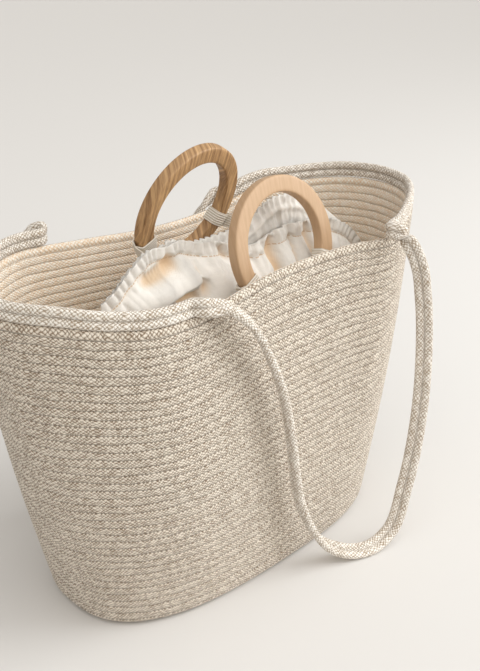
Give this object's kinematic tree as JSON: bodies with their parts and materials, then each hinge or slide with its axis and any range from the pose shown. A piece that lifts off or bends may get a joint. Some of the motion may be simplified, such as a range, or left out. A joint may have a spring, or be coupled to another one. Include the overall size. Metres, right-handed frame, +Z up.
{
  "type": "braided basket bag with ring-handled pouch",
  "caption": "Flared oval basket bag sewn from cotton braid, with hanging flat shoulder straps, a gathered canvas inner pouch and wooden ring handles.",
  "frame": {"origin": "middle of the base, on the floor it stands on", "axes": "+X along the bag's long side to the right, -Y to the front, +Z up"},
  "size_m": [0.498, 0.3181, 0.4071],
  "materials": {
    "braid": "coarse cotton braid, matt",
    "canvas": "thin plain-woven cotton",
    "beech": "sanded, light oil",
    "webbing": "ribbed cotton tape"
  },
  "bodies": {
    "root": {"basket": "braid", "rim_band_right": "braid", "rim_band_left": "braid", "strap_front": "braid", "strap_back": "braid", "pouch": "canvas", "ring_front": "beech", "ring_back": "beech", "tab_front_left": "webbing", "tab_front_right": "webbing", "tab_back_left": "webbing", "tab_back_right": "webbing"}
  },
  "joints": []
}
